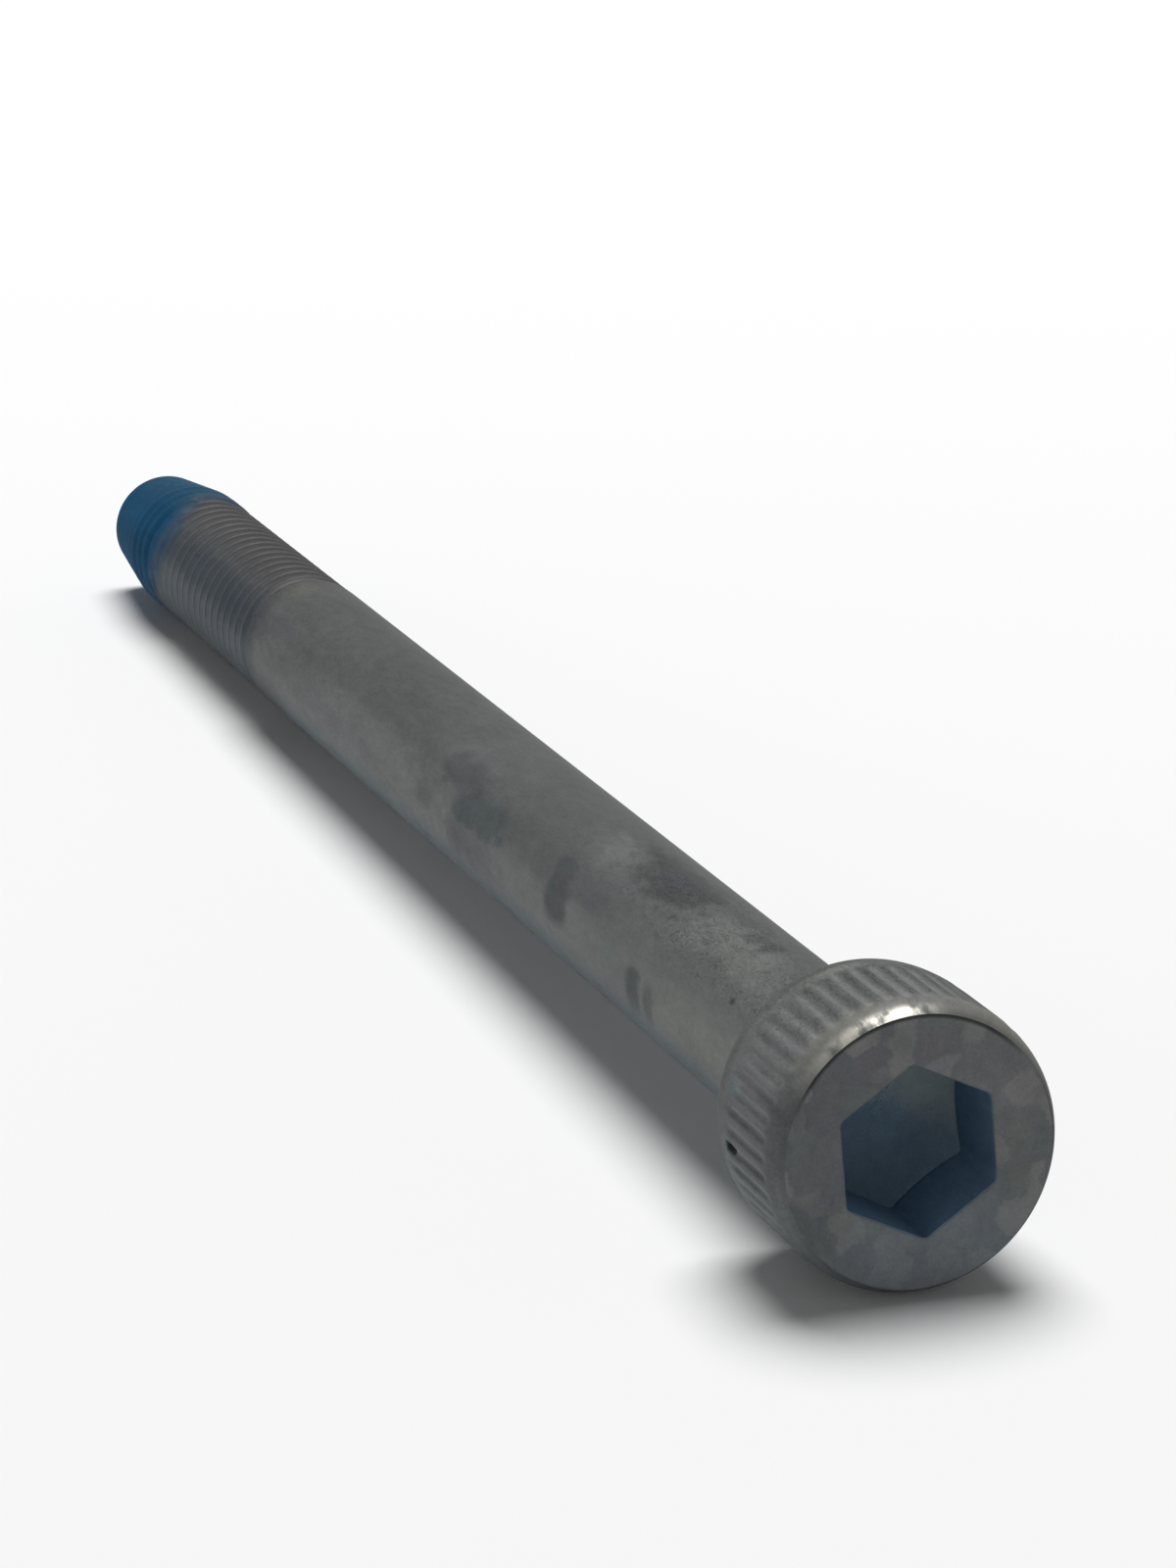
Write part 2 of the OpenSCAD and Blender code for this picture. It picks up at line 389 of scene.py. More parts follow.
def thread():
    """The helix, drawn back to the blank where it runs out and where the coat fills it."""
    end_z = LENGTH - FADE_END
    piece = helix(end_z)
    blank = turned("blank", blank_outline(), TURNED_COLUMNS)
    start_new()
    piece.select_set(True)
    bpy.context.view_layer.objects.active = piece
    filled = piece.vertex_groups.new(name="filled")
    for v in piece.data.vertices:
        filled.add([v.index], filling(v.co, end_z), "REPLACE")
    bpy.ops.object.modifier_add(type="SHRINKWRAP")
    wrap = piece.modifiers[-1]
    wrap.target = blank
    wrap.vertex_group = filled.name
    bpy.ops.object.modifier_apply(modifier=wrap.name)
    bpy.data.objects.remove(blank)
    bpy.ops.object.mode_set(mode="EDIT")
    for z, above in ((THREAD_START, False), (end_z, True)):
        bpy.ops.mesh.select_all(action="SELECT")
        bpy.ops.mesh.bisect(
            plane_co=(0, 0, z), plane_no=(0, 0, 1), clear_inner=not above, clear_outer=above)
    bpy.ops.object.mode_set(mode="OBJECT")
    return piece


def shank():
    """The fillet under the head and the plain shank, up to the thread's run-out."""
    end_z = THREAD_START - SHANK_JOINT
    turns = [math.pi / 2 * i / FILLET_RINGS for i in range(FILLET_RINGS + 1)]
    fillet = [(SHANK_R + NECK_R * (1 - math.sin(a)), NECK_R * (1 - math.cos(a))) for a in turns]
    plain = [(SHANK_R, NECK_R + (end_z - NECK_R) * i / SHANK_RINGS)
             for i in range(1, SHANK_RINGS + 1)]
    return turned("shank", fillet + plain, TURNED_COLUMNS)


def point():
    """The tapered end under its coat, from where the thread has faded out."""
    start_z = LENGTH - FADE_END + POINT_JOINT
    outline = blank_outline()
    ahead = [z > start_z for _, z in outline].index(True)
    (r0, z0), (r1, z1) = outline[ahead - 1], outline[ahead]
    start_r = r0 + (r1 - r0) * (start_z - z0) / (z1 - z0)
    ends = outline[ahead:]
    top = LENGTH + COAT_T
    return turned("point", [(start_r, start_z)] + ends + [(ends[-1][0] / 2, top), (0, top)],
                  THREAD_STEPS)


def bridge(first, second):
    """Joins two open rims with a band of faces. Each rim is a test on a vertex."""
    def on_rim(edge):
        if not edge.is_boundary:
            return False
        return all(first(v) for v in edge.verts) or all(second(v) for v in edge.verts)

    pick("EDGE", on_rim)
    bpy.ops.mesh.bridge_edge_loops()


def at(height, reach=(0, HEAD_R)):
    """A test for vertices at a height, and within a range of radii."""
    low, high = reach
    return lambda v: abs(v.co.z - height) < NEAR and low < math.hypot(v.co.x, v.co.y) < high


def whole_screw():
    """Joins the turned, fluted and threaded stretches into one closed skin."""
    parts = [knurled_side(), socket(), shank(), thread(), point()]
    start_new()
    for part in parts:
        part.select_set(True)
    screw = parts[0]
    bpy.context.view_layer.objects.active = screw
    bpy.ops.object.join()
    bpy.ops.object.mode_set(mode="EDIT")
    bridge(at(-HEAD_H, SOCKET_RIM), at(-HEAD_H, HEAD_RIM))
    bridge(at(0, NECK_RIM), at(0, HEAD_RIM))
    bridge(at(THREAD_START - SHANK_JOINT), at(THREAD_START))
    bridge(at(LENGTH - FADE_END), at(LENGTH - FADE_END + POINT_JOINT))
    bpy.ops.mesh.select_all(action="SELECT")
    bpy.ops.mesh.normals_make_consistent(inside=False)
    bpy.ops.object.mode_set(mode="OBJECT")
    return screw


def lay_down(piece):
    """Tips the upright screw over to where it rests, and brings it to metres."""
    start_new()
    piece.select_set(True)
    bpy.context.view_layer.objects.active = piece
    piece.rotation_euler.y = math.pi / 2 + REST_TILT
    piece.scale = (MM, MM, MM)
    bpy.ops.object.transform_apply(location=True, rotation=True, scale=True)
    bpy.ops.object.shade_smooth_by_angle(angle=math.radians(SMOOTH_BELOW))


def camera():
    """The camera, where the photo was taken from."""
    start_new()
    turn = (CAMERA_AIM - CAMERA_PLACE).to_track_quat("-Z", "Y").to_euler()
    bpy.ops.object.camera_add(location=CAMERA_PLACE, rotation=turn)
    made = bpy.context.object
    made.data.lens = LENS
    made.data.clip_start = CLIP_START
    made.data.clip_end = CLIP_END
    bpy.context.scene.camera = made


def srgb(red, green, blue):
    """A colour given as 0 to 255, as it looks on a screen, in the linear values of a shader."""
    def linear(level):
        level /= 255
        return level / 12.92 if level <= 0.04045 else ((level + 0.055) / 1.055) ** 2.4
    return (linear(red), linear(green), linear(blue), 1)


class Nodes:
    """Adds nodes to a tree. An input is given as a value, or as the output that it is linked from."""

    def __init__(self, tree):
        self.tree = tree

    def add(self, kind, inputs=None, **settings):
        node = self.tree.nodes.new(kind)
        for name, value in settings.items():
            setattr(node, name, value)
        self.feed(node, inputs or {})
        return node

    def feed(self, node, inputs):
        for name, value in inputs.items():
            if isinstance(value, bpy.types.NodeSocket):
                self.tree.links.new(value, node.inputs[name])
            else:
                node.inputs[name].default_value = value

    def math(self, operation, *values):
        return self.add("ShaderNodeMath", dict(enumerate(values)), operation=operation).outputs[0]

    def product(self, first, *others):
        for other in others:
            first = self.math("MULTIPLY", first, other)
        return first

    def blend(self, share, first, second):
        """A colour from the first, where share is 0, to the second, where it is 1."""
        node = self.add("ShaderNodeMix", data_type="RGBA")
        self.feed(node, {"Factor": share, "A": first, "B": second})
        return node.outputs["Result"]

    def between(self, share, first, second):
        """A number from the first, where share is 0, to the second, where it is 1."""
        inputs = {"Value": share, "To Min": first, "To Max": second}
        return self.add("ShaderNodeMapRange", inputs).outputs["Result"]

    def step(self, value, low, high):
        """0 below low and 1 above high, smoothly. It falls where low is the higher one."""
        inputs = {"Value": value, "From Min": low, "From Max": high}
        if low > high:
            inputs.update({"From Min": high, "From Max": low, "To Min": 1.0, "To Max": 0.0})
        node = self.add("ShaderNodeMapRange", inputs, interpolation_type="SMOOTHSTEP")
        return node.outputs["Result"]

    def noise(self, place, size, detail=2.0, rough=0.5, distortion=0.0):
        """Cloudy noise from 0 to 1, whose clouds are about size across."""
        inputs = {"Vector": place, "Scale": 1 / size, "Detail": detail, "Roughness": rough,
                  "Distortion": distortion}
        return self.add("ShaderNodeTexNoise", inputs).outputs["Fac"]

    def group(self, tree, inputs):
        node = self.add("ShaderNodeGroup", node_tree=tree)
        self.feed(node, inputs)
        return node.outputs


def new_group(name, inputs, outputs):
    """An empty node group, with its Nodes and its input sockets."""
    tree = bpy.data.node_groups.new(name, "ShaderNodeTree")
    kinds = {float: "NodeSocketFloat", Vector: "NodeSocketVector"}
    for direction, sockets in (("INPUT", inputs), ("OUTPUT", outputs)):
        for socket, kind in sockets.items():
            tree.interface.new_socket(name=socket, in_out=direction, socket_type=kinds[kind])
    nodes = Nodes(tree)
    given = nodes.add("NodeGroupInput").outputs
    return nodes, given


# Where a point of the surface lies, as place_on_screw_group() says
Where = namedtuple("Where", ["along", "round", "reach", "place"])


def place_on_screw_group():
    """Where a point lies, in millimetres along the screw from the top of its head, in degrees round
    its axis from the socket's highest corner, and in millimetres from the axis. Place is for noise,
    whose clouds come out longer along the screw."""
    nodes, _ = new_group(
        "place_on_screw", {}, {"Along": float, "Round": float, "Reach": float, "Place": Vector})
    position = nodes.add("ShaderNodeTexCoord").outputs["Object"]
    turn = (0, -math.pi / 2 - REST_TILT, -math.radians(180 - SOCKET_TURN))
    upright = nodes.add("ShaderNodeMapping", {
        "Vector": position, "Rotation": turn, "Scale": (1 / MM,) * 3}).outputs[0]
    axes = nodes.add("ShaderNodeSeparateXYZ", {0: upright}).outputs
    along = nodes.math("ADD", axes["Z"], HEAD_H)
    round_ = nodes.math("DEGREES", nodes.math("ARCTAN2", axes["Y"], axes["X"]))
    squares = [nodes.math("MULTIPLY", axes[name], axes[name]) for name in "XY"]
    reach = nodes.math("SQRT", nodes.math("ADD", *squares))
    drawn_out = nodes.add("ShaderNodeVectorMath", {
        0: upright, 1: (1, 1, 1 / DRAWN_OUT)}, operation="MULTIPLY").outputs[0]
    nodes.add("NodeGroupOutput", {
        "Along": along, "Round": round_, "Reach": reach, "Place": drawn_out})
    return nodes.tree


# Size of the clouds that make a mark's edge ragged
STAIN_CLOUD = 0.6


def stain_group():
    """A mask for one mark on the side: a blunt oval with a soft, ragged edge."""
    inputs = {"Along": float, "Round": float, "Place": Vector, "Middle": float, "Turn": float,
              "Half Length": float, "Half Turn": float, "Softness": float, "Raggedness": float,
              "Strength": float}
    nodes, given = new_group("stain", inputs, {"Mask": float})
    along = nodes.math(
        "DIVIDE", nodes.math("SUBTRACT", given["Along"], given["Middle"]), given["Half Length"])
    turned_by = nodes.math("WRAP", nodes.math("SUBTRACT", given["Round"], given["Turn"]), 180, -180)
    across = nodes.math("DIVIDE", turned_by, given["Half Turn"])
    cubes = [nodes.math("POWER", nodes.math("ABSOLUTE", value), 3) for value in (along, across)]
    away = nodes.math("POWER", nodes.math("ADD", *cubes), 1 / 3)
    cloud = nodes.math("SUBTRACT", nodes.noise(given["Place"], STAIN_CLOUD, detail=5.0, rough=0.65), 0.5)
    away = nodes.math("MULTIPLY_ADD", cloud, given["Raggedness"], away)
    low = nodes.math("SUBTRACT", 1, given["Softness"])
    high = nodes.math("ADD", 1, given["Softness"])
    inside = nodes.add("ShaderNodeMapRange", {
        "Value": away, "From Min": low, "From Max": high, "To Min": 1.0, "To Max": 0.0},
        interpolation_type="SMOOTHSTEP").outputs["Result"]
    nodes.add("NodeGroupOutput", {"Mask": nodes.math("MULTIPLY", inside, given["Strength"])})
    return nodes.tree


# Size of the mottle's clouds in millimetres, and their share in the tone
BROAD_SIZE, BROAD_SHARE = 2.6, 0.55
SMALL_SIZE, SMALL_SHARE = 0.4, 0.4
FINE_SIZE, FINE_SHARE = 0.09, 0.35
# The curled lines run where a twisted cloud passes these levels
CURL_SIZE, CURL_TWIST, CURL_WIDTH = 0.38, 2.2, 0.05
LIGHT_LEVEL, DARK_LEVEL = 0.5, 0.42
TINT_SIZE, TINT_SHIFT, TINT_RANGE = 2.2, (31.0, 17.0, 7.0), (0.4, 0.62)


def mottle_group():
    """Cloudy unevenness of tone at three scales, around 0, fine curled lines that are lighter or
    darker, and a slow change of tint."""
    nodes, given = new_group(
        "mottle", {"Place": Vector}, {"Tone": float, "Crinkle": float, "Tint": float})
    place = given["Place"]
    broad = nodes.math("SUBTRACT", nodes.noise(place, BROAD_SIZE, detail=4.0, rough=0.6), 0.5)
    small = nodes.math("SUBTRACT", nodes.noise(place, SMALL_SIZE, detail=4.0, rough=0.65), 0.5)
    fine = nodes.math("SUBTRACT", nodes.noise(place, FINE_SIZE, detail=2.0), 0.5)
    tone = nodes.math("MULTIPLY_ADD", broad, BROAD_SHARE, nodes.product(small, SMALL_SHARE))
    tone = nodes.math("MULTIPLY_ADD", fine, FINE_SHARE, tone)
    curl = nodes.noise(place, CURL_SIZE, detail=2.0, distortion=CURL_TWIST)
    light_line, dark_line = (
        nodes.step(nodes.math("ABSOLUTE", nodes.math("SUBTRACT", curl, level)), CURL_WIDTH, 0.0)
        for level in (LIGHT_LEVEL, DARK_LEVEL))
    shifted = nodes.add("ShaderNodeVectorMath", {0: place, 1: TINT_SHIFT}).outputs[0]
    tint = nodes.noise(shifted, TINT_SIZE, detail=3.0)
    nodes.add("NodeGroupOutput", {
        "Tone": tone, "Crinkle": nodes.math("SUBTRACT", light_line, dark_line),
        "Tint": nodes.step(tint, *TINT_RANGE)})
    return nodes.tree


# Colours of the coat, as they look on a screen
ZINC = srgb(99, 101, 100)
# Painted shade on top of the screw, and painted light low on its side
ZINC_TOP_PAINTED_SHADE = srgb(79, 80, 80)
ZINC_LOW_PAINTED_LIGHT = srgb(113, 115, 114)
ZINC_MAUVE = srgb(101, 100, 103)
ZINC_GREEN = srgb(97, 101, 99)
# Painted bluish reflection where the side faces the floor, darker towards the point
UNDERSIDE_PAINTED_REFLECTION = srgb(97, 108, 112)
UNDERSIDE_FAR_PAINTED_REFLECTION = srgb(66, 72, 75)
# Painted light and shade over the thread: bluer and paler low on the side, warmer and darker on top
THREAD_COOL_PAINTED_LIGHT = srgb(75, 80, 83)
THREAD_WARM_PAINTED_SHADE = srgb(70, 69, 69)
FACE_COOL = srgb(89, 95, 98)
FACE_MAUVE = srgb(96, 95, 99)
FACE_GREEN = srgb(95, 99, 98)
FACE_LIGHT = srgb(111, 112, 111)
# Painted light on the bottom of the flat top
FACE_LOW_PAINTED_LIGHT = srgb(116, 124, 129)
# A fine line of painted shade along the flat top's edge, on its upper side
FACE_EDGE_PAINTED_SHADE = srgb(38, 41, 42)
# Rubbed metal on the rim, whose pale colour is also a painted highlight
RIM_WORN_AND_HIGHLIGHT = srgb(176, 172, 161)
# The socket's blue, partly its own tint and partly painted shade, with painted light on its low wall and
# high floor
SOCKET_WALL_TINT_AND_SHADE = srgb(89, 115, 137)
SOCKET_WALL_LOW_PAINTED_LIGHT = srgb(120, 148, 174)
SOCKET_FLOOR_TINT_AND_SHADE = srgb(78, 95, 109)
SOCKET_FLOOR_HIGH_PAINTED_LIGHT = srgb(113, 123, 126)
# Locking coat, with painted light on its upper side and painted shade below
COAT_BLUE_PAINTED_LIGHT = srgb(32, 74, 100)
COAT_DEEP_PAINTED_SHADE = srgb(14, 68, 100)

# Colours of the marks on it
GREEN_STREAK = srgb(80, 85, 85)
PALE_STREAK = srgb(92, 94, 93)
MAUVE_MARK = srgb(78, 78, 82)
MAUVE_HAZE = srgb(87, 88, 92)
MAUVE_LIGHT = srgb(107, 106, 111)
TEAL_MARK = srgb(76, 84, 85)
TEAL_PALE = srgb(108, 119, 118)
DARK_SPOT = srgb(52, 52, 56)
GREY_BLOT = srgb(60, 63, 62)
BLOT_MIDDLE = srgb(62, 62, 67)
# Painted shade of the thread
SLATE_THREAD_SHADE = srgb(56, 62, 67)
WHITE_SPOT = srgb(120, 122, 119)
YELLOW_SPOT = srgb(112, 112, 104)
FAINT_BAND = srgb(84, 87, 86)
# Pale patches, and a painted highlight where they lie on the rim by the face
PALE_PATCH_AND_HIGHLIGHT = srgb(118, 117, 111)
DULL_RIM = srgb(82, 85, 86)
FLUTE_MAUVE = srgb(91, 93, 95)
# Painted shade in the pit
PIT_PAINTED_SHADE = srgb(12, 18, 20)
PIT_TEAL = srgb(96, 112, 110)

# Marks on the side: colour, place along, turn round, half length, half turn, softness, raggedness
# and strength
STAINS = [
    # Along the shank, broad ones first
    (FAINT_BAND, 33.0, -50, 11.0, 17, 0.6, 1.2, 0.6),
    (FAINT_BAND, 48.0, -12, 2.8, 14, 0.7, 1.2, 0.5),
    (FAINT_BAND, 63.5, -62, 3.2, 18, 0.6, 1.2, 0.5),
    (FAINT_BAND, 54.5, -39, 9.0, 11, 0.7, 1.4, 0.5),
    (FAINT_BAND, 44.3, -77, 0.9, 8, 0.6, 1.4, 0.5),
    (WHITE_SPOT, 42.3, -78, 1.3, 14, 0.6, 1.4, 0.3),
    (MAUVE_LIGHT, 56.5, -80, 5.5, 11, 0.6, 1.4, 0.5),
    (MAUVE_HAZE, 67.3, -45, 2.2, 8, 0.5, 1.4, 0.6),
    (MAUVE_HAZE, 38.4, -83, 2.6, 13, 0.5, 1.2, 0.6),
    (MAUVE_HAZE, 40.5, -92, 0.9, 18, 0.4, 1.2, 0.5),
    (MAUVE_LIGHT, 10.6, -75, 0.9, 5, 0.6, 1.2, 0.5),
    (PALE_STREAK, 12.2, -93, 1.6, 3, 0.6, 1.4, 0.5),
    (TEAL_PALE, 22.3, -74, 0.9, 4.5, 0.6, 1.0, 0.5),
    (WHITE_SPOT, 12.5, -88, 5.2, 22, 0.5, 1.8, 0.8),
    (PALE_STREAK, 17.9, -91, 0.5, 16, 0.4, 1.6, 0.85),
    (GREEN_STREAK, 19.5, -90, 0.68, 19, 0.4, 1.6, 0.95),
    (MAUVE_HAZE, 25.6, -51, 2.0, 9, 0.4, 1.6, 0.8),
    (MAUVE_MARK, 28.2, -72, 1.25, 16, 0.35, 1.2, 0.85),
    (MAUVE_MARK, 28.4, -53, 0.95, 13, 0.35, 1.2, 0.85),
    (TEAL_MARK, 28.9, -65, 0.5, 6, 0.3, 1.0, 0.6),
    (TEAL_MARK, 28.4, -48, 0.6, 5, 0.3, 1.0, 0.7),
    (TEAL_MARK, 37.5, -58, 2.6, 14, 0.3, 1.6, 0.9),
    (TEAL_MARK, 39.6, -66, 1.6, 8, 0.3, 1.2, 0.9),
    (MAUVE_MARK, 41.2, -40, 2.3, 14, 0.3, 1.6, 0.8),
    (DARK_SPOT, 11.2, -45, 0.2, 2.2, 0.6, 0.4, 0.75),
    (WHITE_SPOT, 26.2, -14, 1.9, 13, 0.6, 3.0, 0.4),
    (WHITE_SPOT, 14.2, -14, 4.8, 17, 0.6, 3.0, 0.38),
    (GREY_BLOT, 22.0, -3, 3.3, 20, 0.5, 3.2, 0.8),
    (GREY_BLOT, 20.8, -6, 1.5, 13, 0.5, 2.8, 0.8),
    (GREY_BLOT, 22.2, 7, 3.0, 13, 0.5, 2.0, 0.6),
    (BLOT_MIDDLE, 22.0, -1, 1.4, 9, 0.7, 1.6, 0.7),
    (GREY_BLOT, 13.3, 2, 0.45, 10, 0.6, 2.6, 0.85),
    (GREY_BLOT, 14.5, 0, 0.6, 7, 0.6, 2.6, 0.7),
    (DULL_RIM, 7.8, -2, 3.0, 20, 0.7, 1.4, 0.7),
    # By the thread; the slate blots are painted shade of the thread
    (YELLOW_SPOT, 69.5, -9, 0.9, 12, 0.8, 0.6, 0.4),
    (SLATE_THREAD_SHADE, 78.5, -53, 8.5, 17, 0.5, 0.8, 0.8),
    (SLATE_THREAD_SHADE, 73.0, -64, 3.4, 14, 0.4, 0.8, 0.5),
    # On the head; the pale patches on the rim by the face are a painted highlight, and the pit's black
    # is painted shade
    (PALE_PATCH_AND_HIGHLIGHT, 4.75, -10, 0.3, 11, 0.7, 0.9, 0.5),
    (PALE_PATCH_AND_HIGHLIGHT, 0.7, -24, 0.6, 26, 0.7, 0.9, 0.6),
    (PALE_PATCH_AND_HIGHLIGHT, 0.5, 40, 0.6, 28, 0.7, 0.9, 0.6),
    (DULL_RIM, 0.5, -76, 0.8, 24, 0.7, 0.9, 0.9),
    (FLUTE_MAUVE, 2.9, -84, 1.7, 22, 0.4, 1.2, 0.5),
    (MAUVE_MARK, 1.5, -65, 0.9, 1.6, 0.5, 0.4, 0.7),
    (MAUVE_MARK, 2.1, -93.5, 1.3, 1.4, 0.5, 0.4, 0.7),
    (MAUVE_MARK, 3.0, -78, 1.4, 1.2, 0.5, 0.6, 0.5),
    (PIT_TEAL, 4.6, -93, 0.35, 6, 0.7, 1.0, 0.6),
    (PIT_TEAL, 4.15, -69, 0.38, 3.5, 0.6, 1.0, 0.6),
    # The pit's black is painted shade in it
    (PIT_PAINTED_SHADE, PIT_HEIGHT, PIT_TURN, PIT_LENGTH / 2, 2.4, 0.3, 0.3, 1.0),
]

# Below, a pair of numbers is the stretch over which a mask goes from 0 to 1, as step() takes it:
# millimetres along the screw, degrees round it, or millimetres from its axis.

# Bare coat, with painted shade on top and painted light low on the side, and the underside's painted
# reflection
ZINC_SHARE = 0.4
UPPER_SIDE, LOWER_SIDE, WARM_SIDE, FLOOR_SIDE = (-60, 12), (-44, -76), (-65, 0), (88, 112)
PAST_HEAD = (HEAD_H - 0.4, HEAD_H + 0.4)
BEFORE_THREAD, THREADED, FAR_END = (72, 62), (68.9, 70.9), (60, 72)
HEAD_UNDER_SHARE, SHANK_UNDER_SHARE = 0.35, 0.8

# Flat top, with painted light at its bottom, and the fine line of painted shade round it
FACE_LEVEL, FACE_EDGE = (0.03, 0.015), (FACE_GROOVE_R + 0.03, FACE_GROOVE_R)
FACE_BEND_SCALE, FACE_PATCH_BLUR = 1.1, 0.5
MAUVE_PATCHES, GREEN_PATCHES, LIGHT_PATCHES = (0.1, 0.9), (0.3, 1.0), (0.4, 0.9)
FACE_RIGHT, FACE_RIGHT_END, FACE_RIGHT_SHARE = (-30, 70), (135, 95), 0.4
FACE_BOTTOM, FACE_BOTTOM_SHARE = (105, 165), 0.6
LINE_INSIDE = (FACE_GROOVE_R - 0.15, FACE_GROOVE_R - 0.01)
LINE_OUTSIDE = (FACE_GROOVE_R + 0.05, FACE_GROOVE_R + 0.025)
LINE_LEVEL, LINE_OFF_TOP, LINE_ENDS, LINE_SHARE = (0.06, 0.04), 5, (66, 42), 0.85

# Locking coat
COAT_BLUR, COAT_WAVER_SIZE, COAT_WAVER = 1.7, 1.5, 1.6
COAT_BRIGHT_SIDE = (-38, -8)

# Socket
SOCKET_MOUTH = (SOCKET_CORNERS / 2 + 0.05, SOCKET_CORNERS / 2 + 0.03)
SOCKET_TOP, SOCKET_BOTTOM = (0.02, 0.06), (SOCKET_DEPTH + 0.2, SOCKET_DEPTH + 0.1)
SLOPE_EDGE, SLOPE_TOP = (0.12, 0.04), (3.0, 3.06)
SOCKET_FLAT_FLOOR = (SOCKET_DEPTH - 0.04, SOCKET_DEPTH - 0.02)
LOW_WALL, HIGH_FLOOR_TURN = (112, 128), 40
HIGH_FLOOR_SIDE, HIGH_FLOOR_REACH = (95, 20), (0.2, 1.6)

# Painted light and shade on the knurl. Lifts are for the shoulder, the top and the side, in this order.
KNURL_LOW, KNURL_HIGH = KNURL_TOP - FLUTE_END, HEAD_H - KNURL_BACK + FLUTE_END
HEAD_SKIN = (HEAD_R - 0.6, HEAD_R - 0.5)
IN_FLUTE, ON_CREST = (HEAD_R - 0.01, HEAD_R - 0.08), (HEAD_R - 0.04, HEAD_R)
KNURL_SIDE, KNURL_UPPER, KNURL_FAR = (-42, -60), (-34, -4), (2, 28)
FLUTE_CLOUD, FLUTE_CLOUD_LENGTH, FLUTE_UNEVENNESS = 1.3, 3, 0.25
FLUTE_LIFTS, RIDGE_LIFTS = (0.1, 0.7, 0.15), (0.0, -0.26, 0.1)
WALL_LIFT, FAR_WALL_SHARE = 2.2, -0.6

# Painted light and shade on the thread. The flank towards the head is lifted against its shade, and more
# so at its root.
HEAD_FLANK, HEAD_FLANK_START = (-0.07, -0.13), (-0.5, -0.44)
FLANK_DEEP, THREAD_CREST = (THREAD_R - 0.03, CORE_R + 0.15), (THREAD_R - 0.06, THREAD_R - 0.01)
FLANK_LIFTS, CREST_LIFT = (1.0, 2.4), -0.12
BARE_THREAD = (70.2, 72.6)

# Brightness of the rest: painted light on the head's side, and painted shade on its back edge and on the
# far top of the shank
CRINKLE_END, CRINKLE_START, CRINKLE_SHARE = (34, 14), (0.6, 1.6), 0.3
CRINKLE_OFF_TOP, CRINKLE_SIDES = 10, (50, 25)
HEAD_END, HEAD_START, HEAD_SIDE_PAINTED_LIGHT = (HEAD_H - 0.1, HEAD_H - 1.2), (0.05, 0.3), 0.16
BACK_EDGE, BACK_REACH, BACK_EDGE_PAINTED_SHADE = (4.5, 5.3), (3.6, 4.2), -0.3
FAR_SHANK, FAR_UPPER_SIDE, FAR_TOP_PAINTED_SHADE = (44, 54), (-60, -10), -0.12
OUT_OF_CRINKLES = (24, 42)
NEAR_UNEVENNESS, FAR_UNEVENNESS, HEAD_UNEVENNESS = 1.0, 1.35, 1.6

# Worn rim, whose pale colour is also a painted highlight
RIM_HEIGHT, RIM_REACH = (0.6, 0.15), (HEAD_R - RIM_DROP - 0.02, HEAD_R - RIM_DROP + 0.02)
RUBBED_START, RUBBED_END = (-60, -22), (20, -2)
RUB_SIZE, RUB_PATCHES, RUB_SHARE = 0.45, (0.28, 0.52), 0.6

# Finish
ZINC_ROUGHNESS, WORN_ROUGHNESS, COAT_ROUGHNESS = 0.52, 0.33, 0.85
ZINC_METALLIC, WORN_METALLIC = 0.3, 0.9
GRAIN_SIZE, DIMPLE_SIZE, DIMPLE_SHARE = 0.1, 0.5, 4.0
BUMP_STRENGTH, BUMP_DISTANCE = 0.4, 0.00001
SPECULAR_LEVEL, SPECULAR_TINT = 0.1, (0.3, 0.3, 0.3, 1)


def bare_tone(nodes, where, tint):
    """The plain coat: clouds of two greys, with painted shade on top and painted light on the lower
    side, and cooler over the thread, where painted light and shade make it bluer and paler low on the
    side and warmer and darker on top."""
    tone = nodes.blend(tint, ZINC_GREEN, ZINC_MAUVE)
    tone = nodes.blend(ZINC_SHARE, tone, ZINC)
    tone = nodes.blend(nodes.step(where.round, *UPPER_SIDE), tone, ZINC_TOP_PAINTED_SHADE)
    painted_light_low_side = nodes.product(
        nodes.step(where.round, *LOWER_SIDE), nodes.step(where.along, *BEFORE_THREAD),
        nodes.step(where.along, *PAST_HEAD))
    tone = nodes.blend(painted_light_low_side, tone, ZINC_LOW_PAINTED_LIGHT)
    threaded = nodes.step(where.along, *THREADED)
    warm_side = nodes.step(where.round, *WARM_SIDE)
    return nodes.blend(threaded, tone, nodes.blend(warm_side, THREAD_COOL_PAINTED_LIGHT, THREAD_WARM_PAINTED_SHADE))


def with_marks(nodes, where, tone):
    """Lays the marks on the tone, one after the other."""
    stain = stain_group()
    for colour, middle, turn, half_length, half_turn, softness, raggedness, strength in STAINS:
        mask = nodes.group(stain, {
            "Along": where.along, "Round": where.round, "Place": where.place,
            "Middle": middle, "Turn": turn, "Half Length": half_length, "Half Turn": half_turn,
            "Softness": softness, "Raggedness": raggedness, "Strength": strength})["Mask"]
        tone = nodes.blend(mask, tone, colour)
    return tone


def with_painted_underside_reflection(nodes, where, tone):
    """Painted reflection where the side faces the floor: bluer, and darker towards the point."""
    below = nodes.step(nodes.math("ABSOLUTE", where.round), *FLOOR_SIDE)
    on_shank = nodes.step(where.along, *PAST_HEAD)
    below = nodes.product(below, nodes.between(on_shank, HEAD_UNDER_SHARE, SHANK_UNDER_SHARE))
    underside = nodes.blend(nodes.step(where.along, *FAR_END), UNDERSIDE_PAINTED_REFLECTION, UNDERSIDE_FAR_PAINTED_REFLECTION)
    return nodes.blend(below, tone, underside)


